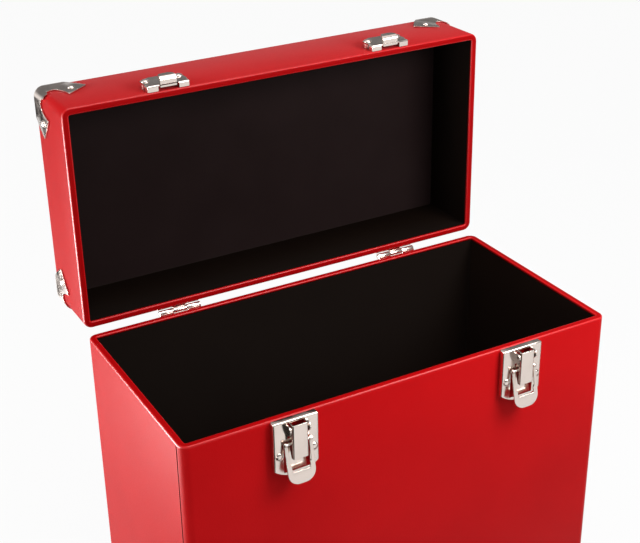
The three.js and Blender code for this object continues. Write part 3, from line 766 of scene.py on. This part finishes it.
def latch_pan():
    """Pan with a bottom edge that is an arc from side to side, and a tongue whose end is bent out."""
    bm = bmesh.new()
    sag = pan_bottom - pan_side
    radius = (pan_half ** 2 + sag ** 2) / (2 * sag)
    low_corner = bm.verts.new((-pan_half, -pan_side, 0))
    last = bmesh.ops.spin(bm, geom=[low_corner], cent=(0, radius - pan_bottom, 0), axis=(0, 0, 1),
                          angle=2 * math.asin(pan_half / radius), steps=pan_arc_steps)["geom_last"]
    path = [*last, *(bm.verts.new((x, -pan_top, 0)) for x in (pan_half, -pan_half)), low_corner]
    for pair in zip(path, path[1:]):
        bm.edges.new(pair)
    bmesh.ops.contextual_create(bm, geom=bm.edges)
    stood_up(bm, pan_face)
    flanged = [e for e in bm.edges if all(v.co.z > -pan_side - tiny for v in e.verts)]
    fold_back(bm, flanged, (0, nickel_gap - pan_face, 0), fold_radius)
    ear_inside = ear_outside - sheet
    slit(bm, "x", (-arm_half, arm_half, -tongue_half, tongue_half, -ear_inside, ear_inside))
    slit(bm, "z", (*ear_window, *arm_window, -tongue_bend, -tongue_end))
    punch(bm, pan_face, -ear_inside, ear_inside, *ear_window)
    punch(bm, pan_face, -arm_half, -tongue_half, *arm_window)
    punch(bm, pan_face, tongue_half, arm_half, *arm_window)
    punch(bm, pan_face, -arm_half, arm_half, arm_window[0], -tongue_end)
    lifted = [v for v in bm.verts if abs(v.co.x) < tongue_half + tiny and abs(v.co.z + tongue_end) < tiny]
    bmesh.ops.translate(bm, vec=(0, tongue_lift, 0), verts=lifted)
    for x in (-ear_outside, ear_outside):
        joined(bm, ear_plate(x))
    return bm


def bar_between(radius, x0, x1, segments=bar_sides, chamfer=bar_edge):
    """Round bar along X with its two ends eased."""
    bm = bmesh.new()
    bmesh.ops.create_cone(bm, cap_ends=True, segments=segments, radius1=radius, radius2=radius, depth=x1 - x0)
    round_off(bm, sharp_edges(bm), chamfer, ease_steps)
    moved(bm, shift((x0 + x1) / 2, 0, 0) @ lying_along_x)
    return bm


def latch_place(side):
    return shift(side_sign[side] * latch_offset, front_y, rim_z) @ facing_front


def rivet_heads(kind, side, place, face, foot, z, body):
    """The two dome-headed rivets through a latch's pan or a strike's plate."""
    for index, x in enumerate((-rivet_spread, rivet_spread)):
        head = turned(dome_profile(rivet_radius, rivet_height, foot), dome_sides)
        at = place @ shift(x, face, z)
        which = f"{side}_{index + 1}"
        nickel_piece(f"{kind}_rivet_head_{which}", head, at, body, f"{kind}_rivet_{which}")


for side in side_sign:
    place = latch_place(side)
    pan = nickel_piece(f"latch_pan_{side}", latch_pan(), place, "case", f"latch_base_{side}")
    stamped(pan, sheet)
    rod = bar_between(pin_radius, -ear_outside, ear_outside)
    at = place @ Matrix.Translation(lever_pivot)
    nickel_piece(f"latch_pin_rod_{side}", rod, at, "case", f"latch_pin_{side}")
    rivet_heads("latch", side, place, pan_face, 2 * sheet, -latch_rivet_down, "case")

# Latch levers: a folded channel, open at both ends, that turns on the pin in the ears. Pulled down it draws
# the loop tight and passes over centre.
lever_half = 0.006
lever_top = 0.0015
lever_bottom = 0.0287
lever_face = 0.0115
lever_back = 0.0055
lever_neck = 0.00635
lever_heel = 0.009
lever_taper = 0.021
lever_tip = 0.003
loop_pivot = Vector((0, 0.0072, -0.0178))


def trim(bm, inner, outer):
    """Cuts away what lies behind the line between two points of the flange, given as y and z."""
    along = Vector((0, outer[0] - inner[0], outer[1] - inner[1]))
    normal = Vector((1, 0, 0)).cross(along).normalized()
    if normal.y > 0:
        normal.negate()
    bmesh.ops.bisect_plane(bm, geom=whole_of(bm), plane_co=(0, *inner), plane_no=normal, clear_outer=True)


def lever_channel():
    """Channel whose flanges are narrow at the pin and tapered away towards the tip."""
    bm = bmesh.new()
    right = [(lever_half, -lever_bottom, 0), (lever_half, -lever_top, 0)]
    upright_face(bm, mirror(right) + right, lever_face)
    sides = [e for e in bm.edges if abs(e.verts[0].co.x - e.verts[1].co.x) < tiny]
    fold_back(bm, sides, (0, lever_back - lever_face, 0), fold_radius)
    trim(bm, (lever_back, -lever_heel), (lever_neck, -lever_top))
    trim(bm, (lever_back, -lever_taper), (lever_face - lever_tip, -lever_bottom))
    return bm


for side in side_sign:
    name = f"latch_lever_channel_{side}"
    lever = nickel_piece(name, lever_channel(), latch_place(side), f"{side}_lever", f"latch_lever_{side}")
    stamped(lever, sheet)

# Latch loops: a flat stamped fork. Its arms curl round two short pivots in the lever's sides, and the bar
# across its end drops behind the strike's hook.
loop_sheet = 0.0012
loop_half = 0.0108
arm_inside = 0.0083
slot_half = 0.0071
shoulder = 0.0152
shoulder_drop = 0.0012
loop_reach = 0.0211
bar_height = 0.0096
loop_end_radius = 0.0085
curl_radius = 0.0016
shoulder_round = 0.0006
slot_round = 0.0009
loop_edge = 0.0003
loop_edge_steps = 3
loop_tilt = math.radians(11.5)


def loop_fork():
    """Fork with its two curls and pivots. Its outline goes round the outside and back round the slot."""
    bm = bmesh.new()
    end = -loop_reach - bar_height
    slot_top = -shoulder - shoulder_drop
    outside = [(loop_half, end, loop_end_radius), (loop_half, 0, 0)]
    slot = [
        (arm_inside, 0, 0), (arm_inside, -shoulder, shoulder_round), (slot_half, slot_top, shoulder_round),
        (slot_half, -loop_reach, slot_round),
    ]
    upright_face(bm, mirror(outside) + outside + slot + mirror(slot), loop_sheet / 2)
    thicken(bm, list(bm.faces), (0, -loop_sheet, 0))
    round_off(bm, sharp_edges(bm), loop_edge, loop_edge_steps, clamp=True)
    inner = lever_half - sheet - nickel_gap
    for sign in (-1, 1):
        curl = sorted((sign * arm_inside, sign * loop_half))
        pivot = sorted((sign * inner, sign * (arm_inside + sheet)))
        joined(bm, bar_between(curl_radius, *curl, chamfer=loop_edge))
        joined(bm, bar_between(pin_radius, *pivot))
    return bm


for side in side_sign:
    hang = Matrix.Translation(loop_pivot) @ Matrix.Rotation(loop_tilt, 4, "X")
    place = latch_place(side) @ hang
    nickel_piece(f"latch_loop_fork_{side}", loop_fork(), place, f"{side}_loop", f"latch_loop_{side}")

# Strikes: a stamped plate on the lid's front wall, standing on flanges turned down at its rim edge, with a
# hook bent up between them for the loop's bar.
strike_offset = 0.095
strike_half = 0.0168
strike_face = 0.00485
strike_rim = 0.0008
strike_shoulder = 0.0163
strike_far = 0.022
strike_far_half = 0.008
flange_inside = 0.0083
strike_return = 0.005
hook_root = 0.0026
hook_half = 0.0065
hook_sheet = 0.0012
hook_crest = 0.0106
hook_leg = 0.001
hook_end = 0.009
hook_bend = 0.0035
hook_corner = 0.0050
hook_bend_steps = 8
hook_corner_steps = 6
strike_round = 0.0006
strike_rivet_up = 0.014


def strike_plate():
    """Plate with slanted far corners, turned down along its far edge and beside the hook at its rim edge."""
    bm = bmesh.new()
    rim = [(strike_half, strike_rim, 0)]
    side = [(strike_half, strike_shoulder, strike_round), (strike_far_half, strike_far, strike_round)]
    upright_face(bm, mirror(rim) + rim + side + mirror(side), strike_face)
    slit(bm, "x", (-flange_inside, flange_inside))
    slit(bm, "z", (strike_rim + strike_return,))
    end = strike_rim + strike_return + tiny

    def turned_down(edge):
        a, b = (v.co for v in edge.verts)
        at_rim = max(a.z, b.z) < strike_rim + tiny and abs(a.x + b.x) / 2 > flange_inside
        at_side = min(abs(a.x), abs(b.x)) > strike_half - tiny and max(a.z, b.z) < end
        at_far = min(a.z, b.z) > strike_far - tiny
        return at_rim or at_side or at_far

    fold_back(bm, [e for e in bm.edges if turned_down(e)], (0, nickel_gap - strike_face, 0), fold_radius)
    return bm


def drawn_on(bm, edge, depth):
    """Draws a strip on from its last edge by a vector, and gives its new last edge."""
    made = bmesh.ops.extrude_edge_only(bm, edges=[edge])["geom"]
    bmesh.ops.translate(bm, vec=depth, verts=verts_in(made))
    return edges_in(made)[0]


def bent_on(bm, edge, centre, angle, steps):
    """Draws a strip on round a bend about an axis along X, and gives its new last edge."""
    made = bmesh.ops.spin(bm, geom=[*edge.verts, edge], cent=centre, axis=(1, 0, 0), angle=angle, steps=steps)
    return edges_in(made["geom_last"])[0]


def strike_hook():
    """Hook as a strip that leaves the plate at its rim edge, bends round and ends in two round corners."""
    bm = bmesh.new()
    front = bm.edges.new([bm.verts.new((x, hook_root, hook_leg)) for x in (-hook_half, hook_half)])
    bend_y = hook_crest - hook_bend
    front = drawn_on(bm, front, (0, bend_y - hook_root, 0))
    front = bent_on(bm, front, (0, bend_y, hook_leg + hook_bend), math.pi / 2, hook_bend_steps)
    front = drawn_on(bm, front, (0, 0, hook_end - hook_leg - hook_bend))
    round_off(bm, list(front.verts), hook_corner, hook_corner_steps, affect="VERTICES", clamp=True)
    face_out(bm)
    if min(bm.faces, key=lambda f: f.calc_center_median().z).normal.z > 0:
        bmesh.ops.reverse_faces(bm, faces=bm.faces)
    return bm


def strike_place(side):
    at = shift(side_sign[side] * strike_offset, front_y, lid_rim_z)
    return lid_open @ at @ facing_front


for side in side_sign:
    place = strike_place(side)
    plate = nickel_piece(f"strike_plate_{side}", strike_plate(), place, "lid", f"strike_{side}")
    stamped(plate, sheet)
    hook = nickel_piece(f"strike_hook_{side}", strike_hook(), place, "lid", f"strike_{side}")
    stamped(hook, hook_sheet)
    rivet_heads("strike", side, place, strike_face, strike_face, strike_rivet_up, "lid")

# Hinges: two stamped leaves with rolled knuckles on one pin, behind the rear walls. Their own stops hold
# the lid at a little over a right angle.
hinge_offset = 0.100
hinge_half = 0.0175
leaf_reach = 0.022
pin_out = 0.0031
barrel_radius = 0.0023
knuckle_gap = 0.0003
hinge_rivet = 0.011
leaf_round = 0.0025
barrel_sides = 28
pin_overhang = 0.0004


def hinge_leaf(knuckles):
    """Leaf hanging below the pin's axis, with knuckles in the given thirds of its length."""
    third = 2 * hinge_half / 3
    clear = barrel_radius + knuckle_gap
    outer = nickel_gap + sheet
    bm = bmesh.new()
    right = [(hinge_half, -leaf_reach, leaf_round), (hinge_half, -clear, 0)]
    upright_face(bm, mirror(right) + right, outer)
    thicken(bm, list(bm.faces), (0, -sheet, 0))
    for knuckle in knuckles:
        x0 = -hinge_half + knuckle * third + knuckle_gap / 2
        x1 = -hinge_half + (knuckle + 1) * third - knuckle_gap / 2
        tab = plain_block(x1 - x0, sheet, clear + sheet)
        joined(bm, tab, shift((x0 + x1) / 2, nickel_gap + sheet / 2, -(clear + sheet) / 2))
        joined(bm, bar_between(barrel_radius, x0, x1, barrel_sides), shift(0, pin_out, 0))
    round_off(bm, sharp_edges(bm), bar_edge, ease_steps, clamp=True)
    for x in (-hinge_rivet, hinge_rivet):
        head = turned(dome_profile(dome_radius, dome_height, sheet / 2), dome_sides)
        joined(bm, head, shift(x, outer, -clear - (leaf_reach - clear) / 2))
    return bm


for side, sign in side_sign.items():
    x = sign * hinge_offset
    at = shift(x, back_y, pin.z)
    nickel_piece(f"hinge_leaf_body_{side}", hinge_leaf((0, 2)), at, "case", f"hinge_body_leaf_{side}")
    at = lid_open @ at @ turned_over
    nickel_piece(f"hinge_leaf_lid_{side}", hinge_leaf((1,)), at, "lid", f"hinge_lid_leaf_{side}")
    rod = bar_between(pin_radius, -hinge_half - pin_overhang, hinge_half + pin_overhang)
    at = shift(x, pin.y, pin.z)
    nickel_piece(f"hinge_pin_rod_{side}", rod, at, "case", f"hinge_pin_{side}")

# Handle: a padded grip on two bent-wire loops that turn in strap brackets riveted to the lid's top. With
# the case open it hangs flat behind the lid.
handle_joint = next(j for j in frame["joints"] if j["name"] == "handle_swing")
handle_pivot = Vector(handle_joint["pos_m"])
handle_offset = 0.065
loop_width = 0.020
wire_radius = 0.00175
wire_bend = 0.004
wire_reach = 0.018
wire_inset = 0.009
handle_tilt = math.radians(12)
grip_length = 0.164
grip_end = 0.015
grip_middle = 0.022
grip_thick = 0.013
grip_arch = 0.011
grip_round = 0.005
bracket_half = 0.0055
bracket_reach = 0.0135
grip_steps = 48
grip_sides = 32
wire_sides = 16
wire_bend_steps = 8
arch_steps = 12
handle_crease = 60
handle_place = Matrix.Translation(handle_pivot) @ Matrix.Rotation(handle_tilt - open_angle, 4, "X")
grip_vinyl = sheet_material(
    "Black grip vinyl", (0.0075, 0.0070, 0.0075), (0.0130, 0.0120, 0.0125), roughness=0.42, specular=0.4,
    bump=0.5, depth=0.00025, scale=800,
)


def grip_bar():
    """Grip as rings drawn along its arch, fuller in the middle and rounded off at both ends."""
    bm = bmesh.new()
    ring = None
    for step in range(grip_steps + 1):
        along = -math.cos(step / grip_steps * math.pi)
        x = along * grip_length / 2
        into_round = max(1 - (grip_length / 2 - abs(x)) / grip_round, 0)
        taper = grip_round * (1 - math.sqrt(max(1 - into_round ** 2, 0)))
        bulge = 1 - along * along
        wide = (grip_end + (grip_middle - grip_end) * bulge) / 2 - taper
        thick = grip_thick / 2 - taper
        y = wire_reach + grip_end / 2 + grip_arch * bulge
        at_end = step in (0, grip_steps)
        made = bmesh.ops.create_circle(bm, cap_ends=at_end, segments=grip_sides, radius=1)["verts"]
        place = shift(x, y, 0) @ across_x @ Matrix.Diagonal((wide, thick, 1, 1))
        bmesh.ops.transform(bm, matrix=place, verts=made)
        edges = list({e for v in made for e in v.link_edges if e.other_vert(v) in made})
        if ring:
            bmesh.ops.bridge_loops(bm, edges=ring + edges)
        ring = edges
    face_out(bm)
    return bm


def bent_wire():
    """Wire loop: a round section drawn down one leg, round two bends and up the other leg."""
    bm = bmesh.new()
    x = loop_width / 2 - wire_radius
    end = wire_reach + wire_inset
    section = bmesh.ops.create_circle(bm, cap_ends=True, segments=wire_sides, radius=wire_radius)["verts"]
    bmesh.ops.transform(bm, matrix=shift(-x, end, 0) @ y_to_z, verts=section)
    start = list(bm.faces)[0]

    def straight(faces, vec):
        made = bmesh.ops.extrude_face_region(bm, geom=faces)["geom"]
        bmesh.ops.delete(bm, geom=[f for f in faces if f.is_valid and f != start], context="FACES_ONLY")
        bmesh.ops.translate(bm, vec=vec, verts=verts_in(made))
        return faces_in(made)

    def bend(faces, centre):
        made = bmesh.ops.spin(bm, geom=faces, cent=centre, axis=(0, 0, 1), angle=math.pi / 2,
                              steps=wire_bend_steps)
        bmesh.ops.delete(bm, geom=[f for f in faces if f.is_valid], context="FACES_ONLY")
        return faces_in(made["geom_last"])

    tip = straight([start], (0, wire_bend - end, 0))
    tip = bend(tip, (wire_bend - x, wire_bend, 0))
    tip = straight(tip, (2 * (x - wire_bend), 0, 0))
    tip = bend(tip, (x - wire_bend, wire_bend, 0))
    straight(tip, (0, end - wire_bend, 0))
    merged(bm, tiny / 10)
    face_out(bm)
    return bm


def strap_bracket():
    """Strap bridging the wire: a flat strip bent up over it by a spin, with a flat foot on either side."""
    bm = bmesh.new()
    arch = wire_radius + nickel_gap + sheet
    axis = nickel_gap + wire_radius + nickel_gap
    top = nickel_gap + sheet
    edge = bm.edges.new([bm.verts.new((x, -bracket_reach, top)) for x in (-bracket_half, bracket_half)])
    edge = drawn_on(bm, edge, (0, bracket_reach - arch, 0))
    edge = drawn_on(bm, edge, (0, 0, axis - top))
    edge = bent_on(bm, edge, (0, 0, axis), -math.pi, arch_steps)
    edge = drawn_on(bm, edge, (0, 0, top - axis))
    drawn_on(bm, edge, (0, bracket_reach - arch, 0))
    merged(bm, tiny / 10)
    face_out(bm)
    if max(bm.faces, key=lambda f: f.calc_center_median().z).normal.z < 0:
        bmesh.ops.reverse_faces(bm, faces=bm.faces)
    return bm


make_piece("handle_grip_pad", grip_bar(), handle_place, grip_vinyl, "handle", "grip_vinyl", "handle_grip",
           crease=handle_crease)
bracket_rivet = (wire_radius + nickel_gap + sheet + bracket_reach) / 2
for side, sign in side_sign.items():
    x = sign * handle_offset
    at = handle_place @ shift(x, 0, 0)
    nickel_piece(f"handle_wire_{side}", bent_wire(), at, "handle", f"handle_loop_{side}",
                 crease=handle_crease)
    foot = lid_open @ shift(x, middle_y, lid_rim_z + lid_height)
    strap = nickel_piece(f"handle_strap_{side}", strap_bracket(), foot, "lid", f"handle_bracket_{side}")
    stamped(strap, sheet)
    for index, way in enumerate((-1, 1)):
        head = turned(dome_profile(dome_radius, dome_height, sheet), dome_sides)
        at = foot @ shift(0, way * bracket_rivet, nickel_gap + sheet) @ y_to_z
        nickel_piece(f"handle_rivet_{side}_{index + 1}", head, at, "lid")

# Feet: four turned rubber feet under the body, each held by a screw sunk in its middle.
foot_radius = 0.009
foot_base = 0.0076
foot_hole = 0.003
foot_hole_depth = 0.0025
foot_edge = 0.0008
foot_sides = 40
rubber = sheet_material(
    "Black rubber", (0.012, 0.012, 0.012), (0.020, 0.020, 0.020), roughness=0.7, specular=0.3, bump=0.2,
    depth=0.0001, scale=500,
)

for end in ("front", "back"):
    for side in side_sign:
        low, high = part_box(f"foot_{end}_{side}")
        top = high.z
        profile = [
            (0, foot_hole_depth), (foot_hole, foot_hole_depth), (foot_hole, 0), (foot_base - foot_edge, 0),
            (foot_base - foot_edge / 4, foot_edge / 4), (foot_base + foot_edge / 6, foot_edge),
            (foot_radius, top), (0, top),
        ]
        centre = (low + high) / 2
        place = shift(centre.x, centre.y, 0) @ y_to_z
        pad = turned(profile, foot_sides)
        make_piece(f"foot_pad_{end}_{side}", pad, place, rubber, "case", "foot_rubber", f"foot_{end}_{side}")

# Floor, light and camera: a pale studio floor that renders almost white, soft light from the left and from
# above, and the camera where the photograph was taken from. Three black cards on the floor and one reflector
# lamp show only in reflections, where they give the nickel and the leatherette their darks and their gleam.
floor_half = 6
white = (1, 1, 1, 1)
backdrop_share = 0.95
card_height = 0.002


def background_rays(nodes, links):
    """The Light Path, and a mask of the rays that see the background: straight, by gloss or through glass."""
    path = node_at(nodes, "ShaderNodeLightPath", -900, 300)
    seen = node_at(nodes, "ShaderNodeMath", -700, 300, operation="MAXIMUM")
    seen_glass = node_at(nodes, "ShaderNodeMath", -500, 300, operation="MAXIMUM")
    link_up(
        links,
        (path, "Is Camera Ray", seen, 0),
        (path, "Is Glossy Ray", seen, 1),
        (seen, 0, seen_glass, 0),
        (path, "Is Transmission Ray", seen_glass, 1),
    )
    return path, seen_glass


def stage_sheet(name, material, x0, x1, y0, y1, z):
    """A flat rectangle of the studio, which isn't part of the case."""
    bm = bmesh.new()
    bmesh.ops.create_grid(bm, x_segments=1, y_segments=1, size=0.5)
    bmesh.ops.scale(bm, vec=(x1 - x0, y1 - y0, 1), verts=bm.verts)
    bmesh.ops.translate(bm, vec=((x0 + x1) / 2, (y0 + y1) / 2, z), verts=bm.verts)
    made = new_object(name, bm, material)
    return made


floor_paint, nodes, links, shader = new_material(
    "Studio floor", {"Base Color": (0.62, 0.62, 0.62, 1), "Roughness": 0.9, "Specular IOR Level": 0},
)
path, seen = background_rays(nodes, links)
share = node_at(nodes, "ShaderNodeMath", -300, 300, {1: backdrop_share}, operation="MULTIPLY")
glow = node_at(nodes, "ShaderNodeEmission", -300, 100, {"Color": white, "Strength": 1})
mixed = node_at(nodes, "ShaderNodeMixShader", 200, 100)
link_up(
    links,
    (seen, 0, share, 0),
    (share, 0, mixed, "Fac"),
    (shader, "BSDF", mixed, 1),
    (glow, "Emission", mixed, 2),
    (mixed, "Shader", nodes["Material Output"], "Surface"),
)
stage_sheet("studio_floor", floor_paint, -floor_half, floor_half, -floor_half, floor_half, 0)

black_card = sheet_material(
    "Black card", (0.010, 0.010, 0.010), (0.014, 0.014, 0.014), roughness=0.9, specular=0, bump=0.1,
    depth=0.001, scale=60,
)
for name, *edges in (
    ("card_behind", -1.8, -0.30, 0.62, 2.0),
    ("card_before", -0.18, 0.9, -0.34, -0.19),
    ("card_left", -0.80, -0.20, -0.75, -0.12),
):
    card = stage_sheet(name, black_card, *edges, card_height)
    for ray in ("camera", "diffuse", "shadow", "transmission"):
        setattr(card, f"visible_{ray}", False)

dim = 0.18
overhead_bright = 0.90
world = bpy.data.worlds.new("Studio")
scene.world = world
world.use_nodes = True
nodes, links = world.node_tree.nodes, world.node_tree.links
fill = nodes["Background"]
fill_in(fill, {"Color": white, "Strength": 0.21})
seen_world = node_at(nodes, "ShaderNodeBackground", -200, -200, {"Color": white})
direction = node_at(nodes, "ShaderNodeTexCoord", -900, -300)
split = node_at(nodes, "ShaderNodeSeparateXYZ", -700, -300)
darker = node_at(nodes, "ShaderNodeMapRange", -500, -300, {
    "From Min": -0.05, "From Max": 0.20, "To Min": 1.0, "To Max": dim,
})
overhead = node_at(nodes, "ShaderNodeMapRange", -500, -600, {
    "From Min": 0.60, "From Max": 0.80, "To Min": dim, "To Max": overhead_bright,
})
both = node_at(nodes, "ShaderNodeMath", -450, -450, operation="MAXIMUM")
strength = node_at(nodes, "ShaderNodeMath", -400, -300, operation="MAXIMUM")
path, seen = background_rays(nodes, links)
mixed = node_at(nodes, "ShaderNodeMixShader", 100, 0)
link_up(
    links,
    (direction, "Generated", split, 0),
    (split, "Z", darker, "Value"),
    (split, "Z", overhead, "Value"),
    (darker, "Result", both, 0),
    (overhead, "Result", both, 1),
    (both, 0, strength, 0),
    (path, "Is Camera Ray", strength, 1),
    (strength, 0, seen_world, "Strength"),
    (seen, 0, mixed, "Fac"),
    (fill, "Background", mixed, 1),
    (seen_world, "Background", mixed, 2),
    (mixed, "Shader", nodes["World Output"], "Surface"),
)


def softbox(name, place, aim, width, height, power, lights_matt=True):
    """Rectangular lamp that faces a point. One that doesn't light matt surfaces shows in gloss alone."""
    lamp = bpy.data.lights.new(name, "AREA")
    lamp.shape = "RECTANGLE"
    lamp.size = width
    lamp.size_y = height
    lamp.energy = power
    made = bpy.data.objects.new(name, lamp)
    made.visible_camera = False
    made.visible_diffuse = lights_matt
    made.location = place
    made.rotation_euler = (Vector(aim) - Vector(place)).to_track_quat("-Z", "Y").to_euler()
    scene.collection.objects.link(made)


target = (0, middle_y, rim_z)
softbox("Left softbox", (-1.7, 0.4, 0.6), target, 1.3, 1.1, 28)
softbox("Left reflector", (-0.60, 0.18, 0.12), (-0.18, 0.0, 0.15), 0.5, 0.4, 20, lights_matt=False)
softbox("Front softbox", (0.28, -0.45, 0.68), (0.14, front_y, rim_z), 0.3, 0.3, 3.8)
softbox("Top softbox", (0.1, -0.4, 2.0), target, 1.2, 1.2, 18)

lens = 72.50
framing_shift = (0.0336, -0.0072)
camera_from_rim = Vector((-0.4366, -0.7436, 0.4762))
camera_turn = (63.730, 1.195, -28.572)
camera_data = bpy.data.cameras.new("Photograph view")
camera_data.lens = lens
camera_data.sensor_width = 36
camera_data.shift_x, camera_data.shift_y = framing_shift
camera = bpy.data.objects.new("Photograph view", camera_data)
camera.location = Vector((0, middle_y, rim_z)) + camera_from_rim
camera.rotation_euler = [math.radians(angle) for angle in camera_turn]
scene.collection.objects.link(camera)
scene.camera = camera
